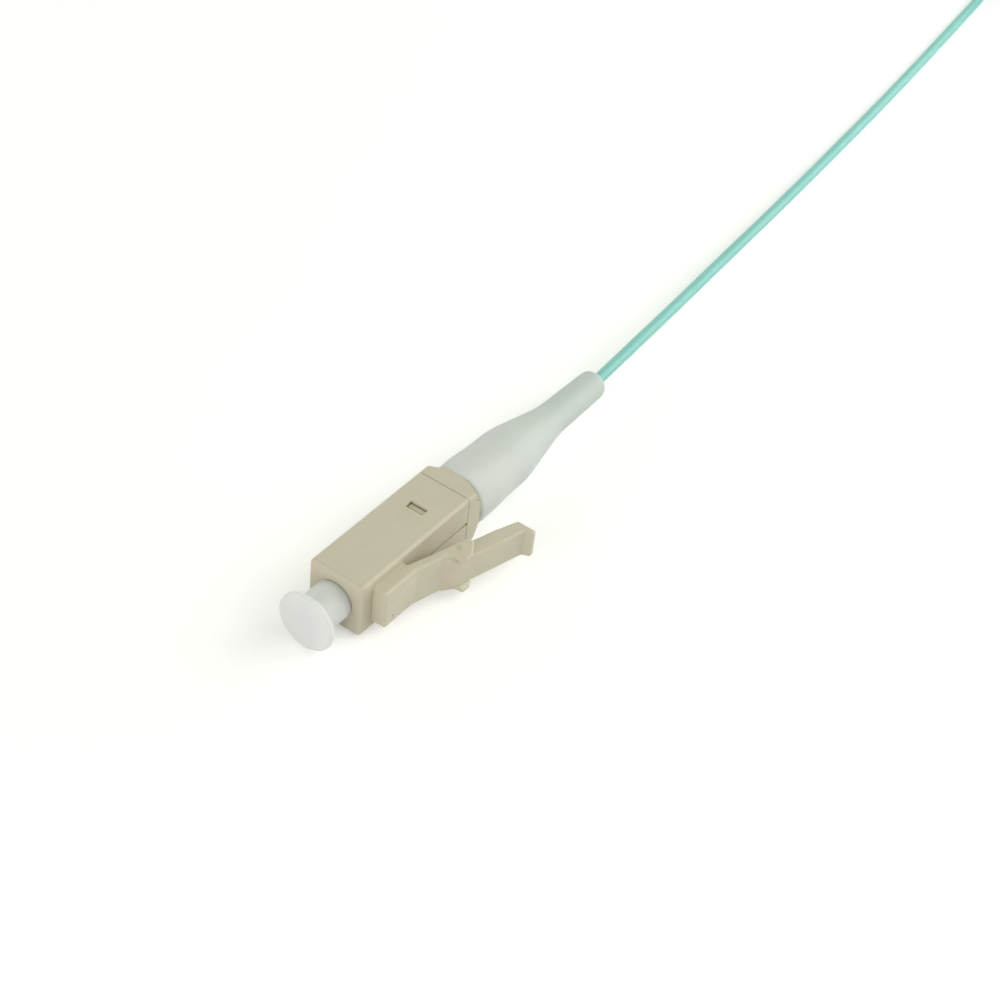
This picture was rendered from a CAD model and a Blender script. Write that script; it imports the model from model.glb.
import math

import bmesh
import bpy
from mathutils import Matrix, Vector


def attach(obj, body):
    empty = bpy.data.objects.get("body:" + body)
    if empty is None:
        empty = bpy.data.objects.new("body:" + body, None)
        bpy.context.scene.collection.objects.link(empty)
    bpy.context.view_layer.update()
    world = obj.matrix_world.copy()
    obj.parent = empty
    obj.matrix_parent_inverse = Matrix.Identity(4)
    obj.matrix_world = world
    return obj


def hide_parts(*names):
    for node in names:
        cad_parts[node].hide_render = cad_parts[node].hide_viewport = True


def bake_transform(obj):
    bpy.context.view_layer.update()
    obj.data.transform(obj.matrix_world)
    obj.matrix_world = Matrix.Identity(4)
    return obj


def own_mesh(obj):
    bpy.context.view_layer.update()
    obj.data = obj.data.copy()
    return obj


# Simplex push-pull fibre plug with its dust cap on, lying on a plain white surface, and
# the free end of its thin buffered fibre running away behind it.
# Metres, in the CAD frame: +X out of the plug's nose, +Y the latch side, +Z up.

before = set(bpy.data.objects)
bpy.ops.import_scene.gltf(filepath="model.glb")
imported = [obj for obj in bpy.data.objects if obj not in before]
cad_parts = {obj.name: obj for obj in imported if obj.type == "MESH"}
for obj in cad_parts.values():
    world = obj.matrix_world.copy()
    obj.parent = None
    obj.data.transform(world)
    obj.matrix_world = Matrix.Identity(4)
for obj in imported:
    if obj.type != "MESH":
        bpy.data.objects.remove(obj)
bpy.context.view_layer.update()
MM = 0.001

# --- Front housing -------------------------------------------------------------------
# The square body that enters the adapter: one injection-moulded piece of filled beige
# polymer, satin, with a fine spark-eroded grain, faint flow mottle and edges that the
# mould leaves a little paler. Its gate mark sits on the latch's root.


def put(tree, value, socket):
    """Gives a socket a plain value, or links another socket to it."""
    if isinstance(value, bpy.types.NodeSocket):
        tree.links.new(value, socket)
    else:
        socket.default_value = value


def reckon(tree, operation, *values):
    """Math node on sockets or plain numbers."""
    node = tree.nodes.new("ShaderNodeMath")
    node.operation = operation
    for value, socket in zip(values, node.inputs):
        put(tree, value, socket)
    return node.outputs["Value"]


def spread(tree, value, low, high, to_low, to_high):
    """Maps a range to another one and stops at its ends."""
    node = tree.nodes.new("ShaderNodeMapRange")
    labels = ("Value", "From Min", "From Max", "To Min", "To Max")
    for label, part in zip(labels, (value, low, high, to_low, to_high)):
        put(tree, part, node.inputs[label])
    return node.outputs["Result"]


def tint(tree, share, first, second):
    """Mixes two colours by a share from 0 to 1."""
    node = tree.nodes.new("ShaderNodeMix")
    node.data_type = "RGBA"
    for value, socket in ((share, node.inputs[0]), (first, node.inputs[6]), (second, node.inputs[7])):
        put(tree, (*value, 1.0) if isinstance(value, tuple) else value, socket)
    return node.outputs[2]


def laid_over(tree, body, mask, share, colour):
    """The body colour with another colour over it at this share, where the mask is 1."""
    return tint(tree, reckon(tree, "MULTIPLY", mask, share), body, colour)


def cloud(tree, place, size, detail=3.0, roughness=0.55, stretch=None):
    """Noise whose lumps are about this size, in metres, on a place in the object's own space."""
    if stretch:
        mapping = tree.nodes.new("ShaderNodeMapping")
        mapping.inputs["Scale"].default_value = stretch
        put(tree, place, mapping.inputs["Vector"])
        place = mapping.outputs["Vector"]
    node = tree.nodes.new("ShaderNodeTexNoise")
    put(tree, place, node.inputs["Vector"])
    put(tree, size if not isinstance(size, float) else 1.0 / size, node.inputs["Scale"])
    node.inputs["Detail"].default_value = detail
    node.inputs["Roughness"].default_value = roughness
    return node.outputs["Fac"]


def effect(name, inputs, outputs):
    """Empty node group with named inputs, each with a first value, and named outputs."""
    group = bpy.data.node_groups.new(name, "ShaderNodeTree")
    for label, value in inputs:
        socket = group.interface.new_socket(label, in_out="INPUT", socket_type="NodeSocketFloat")
        socket.default_value = value
    for label, kind in outputs:
        group.interface.new_socket(label, in_out="OUTPUT", socket_type=kind)
    return group, group.nodes.new("NodeGroupInput").outputs, group.nodes.new("NodeGroupOutput").inputs


def moulded_skin():
    """Fine grain, soft mottle and long flow streaks of a moulded piece, each from 0 to 1."""
    group, given, result = effect("moulded_skin", [("Grain Size", 0.00006), ("Mottle Size", 0.0012)],
                                  [("Grain", "NodeSocketFloat"), ("Mottle", "NodeSocketFloat"),
                                   ("Streaks", "NodeSocketFloat")])
    place = group.nodes.new("ShaderNodeTexCoord").outputs["Object"]
    grain = cloud(group, place, reckon(group, "DIVIDE", 1.0, given["Grain Size"]), 2.0, 0.6)
    mottle_scale = reckon(group, "DIVIDE", 1.0, given["Mottle Size"])
    mottle = cloud(group, place, mottle_scale, 4.0, 0.55)
    streaks = cloud(group, place, mottle_scale, 2.0, 0.5, stretch=(0.25, 2.2, 2.2))
    put(group, grain, result["Grain"])
    put(group, spread(group, mottle, 0.32, 0.68, 0.0, 1.0), result["Mottle"])
    put(group, spread(group, streaks, 0.35, 0.65, 0.0, 1.0), result["Streaks"])
    return group


def eased_edges():
    """Mask of the outer edges, and a normal that rounds them over a small width."""
    group, given, result = effect("eased_edges", [("Width", 0.00006)],
                                  [("Edge", "NodeSocketFloat"), ("Soft Normal", "NodeSocketVector")])
    rounding = group.nodes.new("ShaderNodeBevel")
    rounding.samples = 6
    put(group, given["Width"], rounding.inputs["Radius"])
    true_normal = group.nodes.new("ShaderNodeNewGeometry").outputs["Normal"]
    match = group.nodes.new("ShaderNodeVectorMath")
    match.operation = "DOT_PRODUCT"
    put(group, rounding.outputs["Normal"], match.inputs[0])
    put(group, true_normal, match.inputs[1])
    put(group, spread(group, match.outputs["Value"], 0.995, 0.80, 0.0, 1.0), result["Edge"])
    put(group, rounding.outputs["Normal"], result["Soft Normal"])
    return group


def settled_dust():
    """Mask of the faint dust that lies on faces that point up."""
    group, given, result = effect("settled_dust", [("Speck Size", 0.0002)],
                                  [("Dust", "NodeSocketFloat")])
    up = group.nodes.new("ShaderNodeSeparateXYZ")
    put(group, group.nodes.new("ShaderNodeNewGeometry").outputs["Normal"], up.inputs["Vector"])
    place = group.nodes.new("ShaderNodeTexCoord").outputs["Object"]
    specks = cloud(group, place, reckon(group, "DIVIDE", 1.0, given["Speck Size"]), 5.0, 0.7)
    lying = spread(group, up.outputs["Z"], 0.3, 1.0, 0.0, 1.0)
    speckled = spread(group, specks, 0.55, 0.75, 0.0, 1.0)
    put(group, reckon(group, "MULTIPLY", lying, speckled), result["Dust"])
    return group


def narrow_gaps():
    """Mask of gaps, slots and inside corners, where a pale piece looks darker and warmer."""
    group, given, result = effect("narrow_gaps", [("Reach", 0.0003)], [("Gap", "NodeSocketFloat")])
    shelter = group.nodes.new("ShaderNodeAmbientOcclusion")
    shelter.samples = 6
    put(group, given["Reach"], shelter.inputs["Distance"])
    put(group, spread(group, shelter.outputs["AO"], 0.62, 0.12, 0.0, 1.0), result["Gap"])
    return group


MOULDED_SKIN = moulded_skin()
EASED_EDGES = eased_edges()
SETTLED_DUST = settled_dust()
NARROW_GAPS = narrow_gaps()


def place_effect(tree, group, **values):
    """Places a node group in a material, with its own values."""
    node = tree.nodes.new("ShaderNodeGroup")
    node.node_tree = group
    for label, value in values.items():
        node.inputs[label.replace("_", " ")].default_value = value
    return node.outputs


def new_material(name, **sockets):
    """Material with its Principled shader's plain values set."""
    material = bpy.data.materials.new(name)
    material.use_nodes = True
    tree = material.node_tree
    shader = tree.nodes["Principled BSDF"].inputs
    for label, value in sockets.items():
        shader[label.replace("_", " ")].default_value = value
    return material, tree, shader


def relief(tree, shader, height, depth, normal=None):
    """Fine surface relief, its depth in metres."""
    bump = tree.nodes.new("ShaderNodeBump")
    bump.inputs["Strength"].default_value = 1.0
    bump.inputs["Distance"].default_value = depth
    put(tree, height, bump.inputs["Height"])
    if normal:
        put(tree, normal, bump.inputs["Normal"])
    put(tree, bump.outputs["Normal"], shader["Normal"])


def moulded_plastic(name, colour, shade, edge_colour, grain=0.00007, grain_depth=0.0000012,
                    mottle=0.0014, roughness=(0.40, 0.52), edge_width=0.00006, edge_share=0.5,
                    **sockets):
    """Satin moulded plastic: two close shades, paler eased edges, faint dust and a fine grain."""
    material, tree, shader = new_material(name, **sockets)
    skin = place_effect(tree, MOULDED_SKIN, Grain_Size=grain, Mottle_Size=mottle)
    edges = place_effect(tree, EASED_EDGES, Width=edge_width)
    dust = place_effect(tree, SETTLED_DUST, Speck_Size=0.00022)
    mottled = reckon(tree, "MULTIPLY", skin["Mottle"], 0.65)
    cloudy = reckon(tree, "MULTIPLY_ADD", skin["Streaks"], 0.35, mottled)
    body = tint(tree, cloudy, colour, shade)
    body = laid_over(tree, body, edges["Edge"], edge_share, edge_colour)
    body = laid_over(tree, body, dust["Dust"], 0.10, (0.62, 0.61, 0.58))
    put(tree, body, shader["Base Color"])
    put(tree, spread(tree, skin["Mottle"], 0.0, 1.0, *roughness), shader["Roughness"])
    relief(tree, shader, skin["Grain"], grain_depth, edges["Soft Normal"])
    return material, tree, shader, body


def finish_node(name, material):
    """Gives a CAD node its material."""
    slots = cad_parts[name].data.materials
    slots.clear()
    slots.append(material)


def beige_polymer(name, edge_width):
    """The beige polymer of housing, latch and rear body. It looks warmer in its narrow gaps."""
    material, tree, shader, body = moulded_plastic(
        name, colour=(0.650, 0.602, 0.480), shade=(0.618, 0.566, 0.443),
        edge_colour=(0.685, 0.642, 0.535), grain_depth=0.0000022, edge_width=edge_width,
        Subsurface_Weight=0.12, Subsurface_Radius=(1.0, 0.6, 0.3), Subsurface_Scale=0.00035,
        Specular_IOR_Level=0.42)
    gaps = place_effect(tree, NARROW_GAPS, Reach=0.00025)
    body = laid_over(tree, body, gaps["Gap"], 0.85, (0.26, 0.17, 0.085))
    put(tree, body, shader["Base Color"])
    return material, tree, shader, body


def spot(tree, centre, radius):
    """Mask of a small round place on a piece."""
    away = tree.nodes.new("ShaderNodeVectorMath")
    away.operation = "DISTANCE"
    put(tree, tree.nodes.new("ShaderNodeTexCoord").outputs["Object"], away.inputs[0])
    put(tree, Vector(centre) * MM, away.inputs[1])
    return spread(tree, away.outputs["Value"], radius * 0.55, radius, 1.0, 0.0)


def line_across(tree, place_x, width):
    """Mask of a fine line all round a piece, at one place along X."""
    parts = tree.nodes.new("ShaderNodeSeparateXYZ")
    put(tree, tree.nodes.new("ShaderNodeTexCoord").outputs["Object"], parts.inputs["Vector"])
    off = reckon(tree, "ABSOLUTE", reckon(tree, "SUBTRACT", parts.outputs["X"], place_x))
    return spread(tree, off, width * 0.3, width, 1.0, 0.0)


housing_polymer, tree, shader, body = beige_polymer("housing_polymer", edge_width=0.00007)
parting_line = line_across(tree, -0.29 * MM, 0.00005)
body = laid_over(tree, body, parting_line, 0.30, (0.40, 0.345, 0.235))
gate_mark = spot(tree, (-2.16, 3.41, -0.95), 0.00015)
body = laid_over(tree, body, gate_mark, 0.6, (0.30, 0.27, 0.21))
put(tree, body, shader["Base Color"])
finish_node("front_housing", housing_polymer)

# --- Latch ---------------------------------------------------------------------------
# The springy arm that clicks into the adapter, moulded in one with the housing and bending
# in the plastic at its root. The same beige polymer; a smooth web of it joins arm and root.
root_top = 3.43 * MM
root_half_width = 1.64 * MM
root_rear_x = -4.423 * MM
root_edge = 0.24 * MM
arm_edge = 0.16 * MM
arm_start = Vector((-4.6587, 2.7138)) * MM
arm_rise = 0.285
arm_thickness = 0.7487 * MM
arm_narrowing = 0.013
web_front_x = -3.30 * MM
web_rear_x = -6.25 * MM
web_fillet = 0.14 * MM
web_soft_bend = 0.04 * MM
web_proud = 0.012 * MM
web_sunk = 0.006 * MM
web_under_edge = 0.10 * MM
web_rise_x, web_rise_length = -3.35 * MM, 0.80 * MM
web_sink_x, web_sink_length = -4.92 * MM, 1.28 * MM
narrowing_start_x = -3.56 * MM
arm_side_x, arm_side_length = -4.90 * MM, 0.50 * MM
arm_edge_x, arm_edge_length = -4.20 * MM, 0.60 * MM
corner_points = 8
point_spacing = 0.12 * MM
latch_polymer, tree, shader, body = beige_polymer("latch_polymer", edge_width=0.00012)
dimple_shade = spot(tree, (-8.15, 4.22, 1.60), 0.00036)
put(tree, laid_over(tree, body, dimple_shade, 0.35, (0.46, 0.42, 0.27)), shader["Base Color"])
finish_node("latch_lever", latch_polymer)


def eased(value):
    """Smooth step from 0 to 1."""
    value = min(1.0, max(0.0, value))
    return value * value * (3 - 2 * value)


def web_section(x):
    """Closed loop of points round the arm at one place along it."""
    risen = eased((web_rise_x - x) / web_rise_length)
    sunk_again = eased((web_sink_x - x) / web_sink_length)
    proud = risen * (1 - sunk_again) * (web_proud + web_sunk) - web_sunk
    under = arm_start.y + arm_rise * (arm_start.x - x)
    over = under + arm_thickness - root_top
    top = root_top + (over + math.hypot(over, web_soft_bend)) / 2 + proud
    into_corner = min(1.0, max(0.0, (root_rear_x - x) / web_fillet))
    bottom = under - web_fillet + web_fillet * math.sqrt(1 - (1 - into_corner) ** 2) - proud
    if x > root_rear_x:
        bottom = arm_start.y + arm_rise * (arm_start.x - root_rear_x) - web_fillet
    narrowed = root_half_width - arm_narrowing * (narrowing_start_x - x)
    side_share = eased((arm_side_x - x) / arm_side_length)
    side = root_half_width + (narrowed - root_half_width) * side_share + proud
    edge = root_edge + (arm_edge - root_edge) * eased((arm_edge_x - x) / arm_edge_length)
    corners = [(side, top, edge, 0), (-side, top, edge, 90), (-side, bottom, web_under_edge, 180),
               (side, bottom, web_under_edge, 270)]
    loop = []
    for z, y, radius, start in corners:
        middle_z = z - math.copysign(radius, z)
        middle_y = y - radius if y == top else y + radius
        for n in range(corner_points):
            angle = math.radians(start + 90 * n / (corner_points - 1))
            outward, upward = radius * math.sin(angle), radius * math.cos(angle)
            loop.append(Vector((x, middle_y + outward, middle_z + upward)))
    smooth_loop = []
    for here, after in zip(loop, loop[1:] + loop[:1]):
        pieces = max(1, round((after - here).length / point_spacing))
        smooth_loop += [here.lerp(after, n / pieces) for n in range(pieces)]
    return smooth_loop


def even_loop(points, count):
    """The same closed loop with evenly numbered points, so that neighbouring sections join."""
    lengths = [0.0]
    closed = points + points[:1]
    for here, after in zip(closed, closed[1:]):
        lengths.append(lengths[-1] + (after - here).length)
    even = []
    index = 0
    for n in range(count):
        wanted = lengths[-1] * n / count
        while lengths[index + 1] < wanted:
            index += 1
        share = (wanted - lengths[index]) / max(1e-12, lengths[index + 1] - lengths[index])
        even.append(closed[index].lerp(closed[index + 1], share))
    return even


def lofted(name, sections):
    """Closed mesh through sections that have the same number of points."""
    mesh = bmesh.new()
    rings = [[mesh.verts.new(point) for point in section] for section in sections]
    for ring, following in zip(rings, rings[1:]):
        for n in range(len(ring)):
            after = (n + 1) % len(ring)
            mesh.faces.new((ring[n], ring[after], following[after], following[n]))
    mesh.faces.new(reversed(rings[0]))
    mesh.faces.new(rings[-1])
    bmesh.ops.recalc_face_normals(mesh, faces=mesh.faces)
    for face in mesh.faces:
        face.smooth = True
    data = bpy.data.meshes.new(name)
    mesh.to_mesh(data)
    mesh.free()
    piece = bpy.data.objects.new(name, data)
    bpy.context.scene.collection.objects.link(piece)
    return piece


front_steps, fillet_steps, rear_steps = 16, 8, 20
loop_points = 96
stations = [web_front_x + (root_rear_x - web_front_x) * n / front_steps for n in range(front_steps)]
for n in range(fillet_steps + 1):
    stations.append(root_rear_x - web_fillet * (1 - math.cos(math.radians(90 * n / fillet_steps))))
fillet_rear_x = stations[-1]
for n in range(1, rear_steps + 1):
    stations.append(fillet_rear_x + (web_rear_x - fillet_rear_x) * n / rear_steps)
web = lofted("latch_root_web", [even_loop(web_section(x), loop_points) for x in stations])
web.data.materials.append(latch_polymer)
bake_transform(web)

# --- Rear body -----------------------------------------------------------------------
# The collar behind the joint line, in one with the insert that snaps into the housing and
# the barbed post that the boot grips. A second shot of the same beige polymer.
collar_polymer, tree, shader, body = beige_polymer("collar_polymer", edge_width=0.00008)
ejector_mark = spot(tree, (-13.07, 2.25, 1.50), 0.00013)
put(tree, laid_over(tree, body, ejector_mark, 0.7, (0.27, 0.22, 0.15)), shader["Base Color"])
finish_node("rear_body", collar_polymer)

# --- Ferrule unit --------------------------------------------------------------------
# White zirconia ferrule, ground and polished, pressed into a turned and nickel-plated
# brass flange; a plastic tube guides the fibre into its tail, and amber resin holds it.


def turned_marks():
    """Fine rings that a lathe or grinder leaves round the axis, from 0 to 1."""
    group, given, result = effect("turned_marks", [("Ring Width", 0.00003)],
                                  [("Rings", "NodeSocketFloat")])
    place = group.nodes.new("ShaderNodeTexCoord").outputs["Object"]
    ring_scale = reckon(group, "DIVIDE", 1.0, given["Ring Width"])
    rings = cloud(group, place, ring_scale, 3.0, 0.6, stretch=(1.0, 0.02, 0.02))
    put(group, rings, result["Rings"])
    return group


TURNED_MARKS = turned_marks()


def machined(name, colour, shade, ring_width, depth, roughness, edge_colour, **sockets):
    """Turned or ground surface: fine rings, a slow change of tone, brighter eased edges."""
    material, tree, shader = new_material(name, **sockets)
    rings = place_effect(tree, TURNED_MARKS, Ring_Width=ring_width)
    skin = place_effect(tree, MOULDED_SKIN, Grain_Size=0.00002, Mottle_Size=0.0009)
    edges = place_effect(tree, EASED_EDGES, Width=0.00004)
    body = tint(tree, skin["Mottle"], colour, shade)
    body = laid_over(tree, body, edges["Edge"], 0.6, edge_colour)
    put(tree, body, shader["Base Color"])
    put(tree, spread(tree, rings["Rings"], 0.3, 0.7, *roughness), shader["Roughness"])
    relief(tree, shader, rings["Rings"], depth, edges["Soft Normal"])
    return material


ground_zirconia = machined(
    "ground_zirconia", colour=(0.80, 0.80, 0.76), shade=(0.76, 0.76, 0.71), ring_width=0.00002,
    depth=0.0000002, roughness=(0.10, 0.20), edge_colour=(0.86, 0.86, 0.83),
    Subsurface_Weight=0.15, Subsurface_Radius=(1.0, 0.9, 0.7), Subsurface_Scale=0.0002, IOR=2.1)
finish_node("ferrule", ground_zirconia)
nickel_plate = machined(
    "nickel_plate", colour=(0.66, 0.63, 0.57), shade=(0.58, 0.55, 0.49), ring_width=0.00004,
    depth=0.000001, roughness=(0.22, 0.38), edge_colour=(0.74, 0.72, 0.68), Metallic=1.0)
finish_node("ferrule_flange", nickel_plate)
natural_nylon = moulded_plastic(
    "natural_nylon", colour=(0.70, 0.70, 0.65), shade=(0.65, 0.65, 0.59),
    edge_colour=(0.76, 0.76, 0.72), grain=0.00004, mottle=0.0009, roughness=(0.28, 0.40),
    Subsurface_Weight=0.3, Subsurface_Scale=0.0004)[0]
finish_node("guide_tube", natural_nylon)

amber_resin, tree, shader = new_material(
    "amber_resin", Transmission_Weight=0.35, IOR=1.55, Roughness=0.12, Subsurface_Weight=0.2,
    Subsurface_Scale=0.0003)
skin = place_effect(tree, MOULDED_SKIN, Grain_Size=0.00005, Mottle_Size=0.0005)
put(tree, tint(tree, skin["Mottle"], (0.52, 0.27, 0.05), (0.40, 0.18, 0.03)), shader["Base Color"])
relief(tree, shader, skin["Mottle"], 0.000004)
finish_node("epoxy_fill", amber_resin)

# --- Glass fibre ---------------------------------------------------------------------
# The bare drawn silica fibre glued in the ferrule's bore, and the same fibre in its thin
# acrylate coating behind it.
drawn_silica, tree, shader = new_material("drawn_silica", Transmission_Weight=1.0, IOR=1.46,
                                          Base_Color=(0.93, 0.96, 0.98, 1.0))
skin = place_effect(tree, MOULDED_SKIN, Grain_Size=0.00001, Mottle_Size=0.0003)
put(tree, spread(tree, skin["Streaks"], 0.0, 1.0, 0.02, 0.07), shader["Roughness"])
relief(tree, shader, skin["Grain"], 0.00000005)
finish_node("bare_fibre", drawn_silica)
acrylate = moulded_plastic(
    "acrylate_coating", colour=(0.68, 0.70, 0.69), shade=(0.60, 0.63, 0.62),
    edge_colour=(0.72, 0.74, 0.73), grain=0.00001, grain_depth=0.0000003, mottle=0.0004,
    roughness=(0.20, 0.32), edge_width=0.00001, Subsurface_Weight=0.3, Subsurface_Scale=0.0002)[0]
finish_node("fibre_coating", acrylate)

# --- Spring --------------------------------------------------------------------------
# Compression spring coiled from drawn stainless wire; it pushes the ferrule unit forward
# from its seat in the rear body, and it shortens as the ferrule gives way.
spring_wire, tree, shader = new_material("drawn_stainless", Metallic=1.0)
skin = place_effect(tree, MOULDED_SKIN, Grain_Size=0.00002, Mottle_Size=0.0004)
edges = place_effect(tree, EASED_EDGES, Width=0.00008)
put(tree, tint(tree, skin["Mottle"], (0.58, 0.58, 0.57), (0.46, 0.45, 0.43)), shader["Base Color"])
put(tree, spread(tree, skin["Streaks"], 0.0, 1.0, 0.24, 0.42), shader["Roughness"])
relief(tree, shader, skin["Grain"], 0.0000006, edges["Soft Normal"])
finish_node("spring", spring_wire)
solid_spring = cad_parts["spring"]
spring = bpy.data.objects.new("coiled_spring", solid_spring.data.copy())
bpy.context.scene.collection.objects.link(spring)
spring.matrix_world = solid_spring.matrix_world.copy()
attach(spring, "plug_body")
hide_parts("spring")
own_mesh(spring)

# --- Boot ----------------------------------------------------------------------------
# Slim strain relief of soft pale elastomer, moulded with a tapered tail and pushed over the
# barbed post against the collar. Its surface is matt, and the fibre's colour shows through
# the thin tail a little.
boot_front_x, boot_rear_x = -13.48, -31.15
boot_stations = [(boot_front_x, 2.180), (-13.55, 2.290), (-13.64, 2.375), (-13.85, 2.420),
                 (-14.60, 2.425), (-15.70, 2.415), (-16.60, 2.355), (-17.50, 2.300), (-18.60, 2.285),
                 (-19.40, 2.270), (-20.10, 2.200), (-20.90, 2.060), (-22.60, 1.730), (-24.00, 1.455),
                 (-24.90, 1.315), (-25.80, 1.262), (-27.40, 1.232), (-29.00, 1.198), (-30.40, 1.168),
                 (-30.78, 1.130), (-31.00, 1.035), (-31.12, 0.890), (boot_rear_x, 0.740)]
fibre_bore_radius = 0.47
post_socket_radius = 1.62
post_socket_rear_x = -18.85
bore_edge = 0.05
tail_tint_start_x, tail_tint_end_x = -17.0 * MM, -27.0 * MM
round_steps = 96


def between(a, b, c, d, t):
    """Value on a smooth curve from b at t 0 to c at t 1, with a before it and d after it."""
    return 0.5 * (2 * b + (c - a) * t + (2 * a - 5 * b + 4 * c - d) * t * t
                  + (3 * b - a - 3 * c + d) * t ** 3)


def flowing(stations, steps):
    """Smooth outline of (x, radius) points that runs through the stations."""
    outline = []
    ends = [stations[0]] + stations + [stations[-1]]
    for before, here, after, beyond in zip(ends, ends[1:], ends[2:], ends[3:]):
        for n in range(steps):
            outline.append(tuple(between(a, b, c, d, n / steps)
                                 for a, b, c, d in zip(before, here, after, beyond)))
    return outline + [stations[-1]]


def lathed(name, outline, segments, sharp_angle=40):
    """Closed ring-shaped piece turned about the optical axis from a closed outline in millimetres."""
    rings = []
    mesh = bmesh.new()
    angles = [2 * math.pi * n / segments for n in range(segments)]
    for x, radius in outline:
        ring = [(x * MM, radius * MM * math.cos(angle), radius * MM * math.sin(angle)) for angle in angles]
        rings.append([mesh.verts.new(point) for point in ring])
    for ring, following in zip(rings, rings[1:] + rings[:1]):
        for n in range(segments):
            after = (n + 1) % segments
            mesh.faces.new((ring[n], ring[after], following[after], following[n]))
    bmesh.ops.recalc_face_normals(mesh, faces=mesh.faces)
    for face in mesh.faces:
        face.smooth = True
    data = bpy.data.meshes.new(name)
    mesh.to_mesh(data)
    mesh.free()
    data.set_sharp_from_angle(angle=math.radians(sharp_angle))
    piece = bpy.data.objects.new(name, data)
    bpy.context.scene.collection.objects.link(piece)
    return piece


boot_outline = flowing(boot_stations, 4)
boot_outline += [(boot_rear_x, fibre_bore_radius + bore_edge),
                 (boot_rear_x + bore_edge, fibre_bore_radius),
                 (post_socket_rear_x, fibre_bore_radius), (post_socket_rear_x, post_socket_radius),
                 (boot_front_x, post_socket_radius)]
boot = lathed("boot_sleeve", boot_outline, round_steps)
pale_elastomer, tree, shader, body = moulded_plastic(
    "pale_elastomer", colour=(0.700, 0.730, 0.712), shade=(0.675, 0.705, 0.686),
    edge_colour=(0.720, 0.750, 0.734), grain=0.00009, grain_depth=0.0000014, mottle=0.0022,
    roughness=(0.46, 0.58), edge_width=0.00008, Subsurface_Weight=0.22,
    Subsurface_Radius=(1.0, 1.0, 0.9), Subsurface_Scale=0.0007, Specular_IOR_Level=0.40)
boot_place = tree.nodes.new("ShaderNodeSeparateXYZ")
put(tree, tree.nodes.new("ShaderNodeTexCoord").outputs["Object"], boot_place.inputs["Vector"])
thin_tail = spread(tree, boot_place.outputs["X"], tail_tint_start_x, tail_tint_end_x, 0.0, 1.0)
put(tree, tint(tree, thin_tail, body, (0.590, 0.648, 0.622)), shader["Base Color"])
boot.data.materials.append(pale_elastomer)
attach(boot, "plug_body")
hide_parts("boot")

# --- Dust cap ------------------------------------------------------------------------
# Loose cap of milky low-density plastic that keeps the ferrule clean: a round stem in the
# plug's recess and a wider disc to pull it by, moulded in one, waxy and slightly see-through.
milky_plastic = moulded_plastic(
    "milky_plastic", colour=(0.785, 0.795, 0.796), shade=(0.757, 0.768, 0.768),
    edge_colour=(0.800, 0.808, 0.810), grain=0.00012, grain_depth=0.0000016, mottle=0.0011,
    roughness=(0.38, 0.52), edge_width=0.00014, Subsurface_Weight=0.45,
    Subsurface_Radius=(1.0, 1.0, 1.0), Subsurface_Scale=0.0010, Specular_IOR_Level=0.38)[0]
finish_node("dust_cap", milky_plastic)
foot_rear_x, foot_front_x = 0.005, 0.12
foot_inner_radius, foot_outer_radius = 1.42, 1.535
foot_edge = 0.03
foot_outline = [(foot_rear_x, foot_inner_radius), (foot_rear_x, foot_outer_radius - foot_edge),
                (foot_rear_x + foot_edge, foot_outer_radius),
                (foot_front_x - foot_edge, foot_outer_radius),
                (foot_front_x, foot_outer_radius - foot_edge), (foot_front_x, foot_inner_radius)]
foot = lathed("cap_foot", foot_outline, round_steps)
foot.data.materials.append(milky_plastic)
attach(foot, "cap")

# --- Free fibre ----------------------------------------------------------------------
# One metre of fibre in its extruded aqua buffer, 0.9 mm thick and springy. It leaves the
# boot, sinks to the surface and runs off; the put-away length is wound into a neat coil.
fibre_radius = 0.45 * MM
fibre_length = 1.0
boot_end_x, fall = -31.40, 1.97
course = [(0.0, 0.00, 0.00), (6.2, -0.38, 0.03), (12.6, -0.91, 0.20), (21.0, -1.75, 0.48),
          (32.0, -2.70, 0.76), (43.8, -3.73, 0.94), (56.4, -4.78, 1.00), (70.0, -6.11, 1.00),
          (81.5, -7.29, 1.00), (92.0, -8.49, 1.00)]
points = [Vector((boot_end_x - back, side, -fall * part)) * MM for back, side, part in course]
coil_radius = 7.7 * MM
coil_pitch = 2.04 * fibre_radius
turns_per_layer = 4.8
climb_turns = 0.3
steps_per_turn = 24

coil_side = points.pop()
heading = (coil_side - points[-1]).normalized()
coil_centre = coil_side + Vector((heading.y, -heading.x, 0)) * coil_radius
outer_radius = coil_radius + turns_per_layer / 2 * coil_pitch
away = (points[-1] - coil_centre).xy
entry_angle = math.atan2(away.y, away.x) - math.acos(outer_radius / away.length)
entry = coil_centre + Vector((math.cos(entry_angle), math.sin(entry_angle), 0)) * outer_radius
left = fibre_length - sum((b - a).length for a, b in zip(points, points[1:] + [entry]))
points.append(entry)
step = 0
while left > 0:
    step += 1
    layers_done, in_layer = divmod(step / steps_per_turn, turns_per_layer)
    inward = in_layer if layers_done % 2 == 0 else turns_per_layer - in_layer
    climb = max(0.0, 1 - (turns_per_layer - in_layer) / climb_turns)
    angle = entry_angle - 2 * math.pi * step / steps_per_turn
    radius = outer_radius - inward * coil_pitch
    point = coil_centre + Vector((math.cos(angle), math.sin(angle), 0)) * radius
    point.z += (layers_done + climb) * coil_pitch
    left -= (point - points[-1]).length
    points.append(point)

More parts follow.
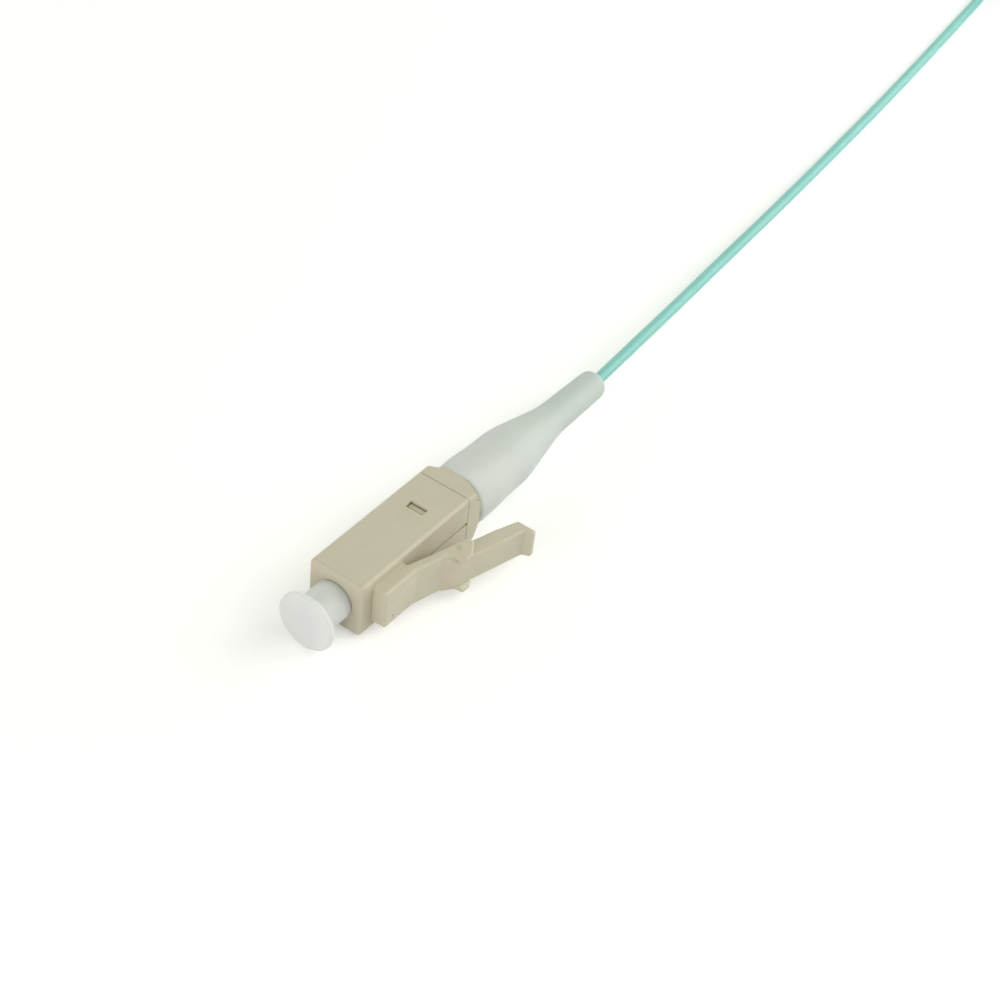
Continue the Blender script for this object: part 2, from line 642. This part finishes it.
fibre_curve = bpy.data.curves.new("fibre", "CURVE")
fibre_curve.dimensions = "3D"
spline = fibre_curve.splines.new("NURBS")
spline.points.add(len(points) - 1)
for control, point in zip(spline.points, points):
    control.co = (*point, 1)
spline.order_u = 3
spline.use_endpoint_u = True
fibre_curve.bevel_depth = fibre_radius
fibre_curve.bevel_resolution = 8
fibre_curve.use_fill_caps = True
fibre = bpy.data.objects.new("fibre", fibre_curve)
bpy.context.scene.collection.objects.link(fibre)

aqua_buffer = moulded_plastic(
    "aqua_buffer", colour=(0.262, 0.640, 0.595), shade=(0.240, 0.608, 0.562),
    edge_colour=(0.30, 0.66, 0.62), grain=0.00006, grain_depth=0.0000008, mottle=0.0016,
    roughness=(0.34, 0.46), edge_width=0.00003, edge_share=0.0, Subsurface_Weight=0.15,
    Subsurface_Radius=(0.6, 1.0, 0.9), Subsurface_Scale=0.0004)[0]
fibre_curve.materials.append(aqua_buffer)
finish_node("buffer_tube", aqua_buffer)
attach(fibre, "plug_body")
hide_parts("fibre_tail", "fibre_coil")

# --- Surface, light and camera -------------------------------------------------------
# A plain white table in a white room whose light comes from above. Broad soft lamps stand in
# front, to both sides and overhead, at a level that shows colours as they are.
surface_z = -2.42 * MM
surface_half_width = 1.5
near_glow, far_glow = 0.36, 0.90
near_distance, far_distance = 0.10, 0.45
grid = bmesh.new()
bmesh.ops.create_grid(grid, x_segments=8, y_segments=8, size=surface_half_width,
                      matrix=Matrix.Translation((0, 0, surface_z)))
surface_mesh = bpy.data.meshes.new("surface")
grid.to_mesh(surface_mesh)
grid.free()
surface = bpy.data.objects.new("surface", surface_mesh)
bpy.context.scene.collection.objects.link(surface)


def seen_plainly(tree):
    """1 for rays from the camera, from gloss and through glass, else 0."""
    rays = tree.nodes.new("ShaderNodeLightPath").outputs
    return reckon(tree, "MAXIMUM", rays["Is Camera Ray"],
                  reckon(tree, "MAXIMUM", rays["Is Glossy Ray"], rays["Is Transmission Ray"]))


white_top, tree, shader = new_material(
    "white_top", Base_Color=(0.86, 0.86, 0.86, 1.0), Roughness=0.9,
    Emission_Color=(1.0, 1.0, 1.0, 1.0), Specular_IOR_Level=0.0)
far_off = tree.nodes.new("ShaderNodeVectorMath")
far_off.operation = "LENGTH"
put(tree, tree.nodes.new("ShaderNodeTexCoord").outputs["Object"], far_off.inputs[0])
glow = spread(tree, far_off.outputs["Value"], near_distance, far_distance, near_glow, far_glow)
put(tree, reckon(tree, "MULTIPLY", seen_plainly(tree), glow), shader["Emission Strength"])
surface_mesh.materials.append(white_top)

room = bpy.data.worlds.new("white_room")
bpy.context.scene.world = room
room.use_nodes = True
tree = room.node_tree
background = tree.nodes["Background"].inputs
plainly = seen_plainly(tree)
direction = tree.nodes.new("ShaderNodeSeparateXYZ")
put(tree, tree.nodes.new("ShaderNodeTexCoord").outputs["Generated"], direction.inputs["Vector"])
height = spread(tree, direction.outputs["Z"], 0.0, 0.9, 0.0, 1.0)
room_light = tint(tree, height, (0.010, 0.010, 0.010), (0.272, 0.302, 0.215))
put(tree, tint(tree, plainly, room_light, (1.0, 1.0, 1.0)), background["Color"])


def soft_lamp(name, direction, size, level, colour):
    """Square lamp that gives a face turned to it this share of full white."""
    light = bpy.data.lights.new(name, "AREA")
    light.size = size
    light.color = colour
    light.energy = level * math.pi ** 2 * lamp_distance ** 2
    lamp = bpy.data.objects.new(name, light)
    bpy.context.scene.collection.objects.link(lamp)
    away = Vector(direction).normalized()
    lamp.location = lamp_aim + away * lamp_distance
    lamp.rotation_euler = (-away).to_track_quat("-Z", "Y").to_euler()


lamp_distance = 0.40
lamp_aim = Vector((-0.010, 0.0, 0.0))
soft_lamp("back_front_lamp", (0.85, -0.50, 0.22), size=0.30, level=0.215, colour=(1.0, 0.98, 0.96))
soft_lamp("front_lamp", (0.90, 0.15, 0.30), size=0.30, level=0.445, colour=(1.0, 0.965, 0.990))
soft_lamp("latch_side_lamp", (-0.80, 0.50, 0.35), size=0.40, level=0.700, colour=(1.0, 0.985, 1.0))
soft_lamp("back_side_lamp", (-0.25, -0.95, 0.20), size=0.40, level=0.420, colour=(1.0, 0.985, 1.0))
soft_lamp("overhead_lamp", (-0.25, 0.60, 0.75), size=0.30, level=0.290, colour=(0.98, 1.0, 0.94))

sensor_width, focal_length = 36, 83.441016
turn_axis = Vector((1.094239, 2.273881, -0.949370))
shift = Vector((-11.17407, 6.62917, 156.06382)) * MM
camera_data = bpy.data.cameras.new("camera")
camera_data.sensor_width = sensor_width
camera_data.lens = focal_length
camera_data.clip_start = 0.005
camera = bpy.data.objects.new("camera", camera_data)
bpy.context.scene.collection.objects.link(camera)
bpy.context.scene.camera = camera
turned = Matrix.Rotation(turn_axis.length, 3, turn_axis.normalized())
place = -(turned.transposed() @ shift)
facing = Matrix((turned[0], -turned[1], -turned[2])).transposed()
camera.matrix_world = Matrix.Translation(place) @ facing.to_4x4()

bpy.context.scene.view_settings.view_transform = "Standard"
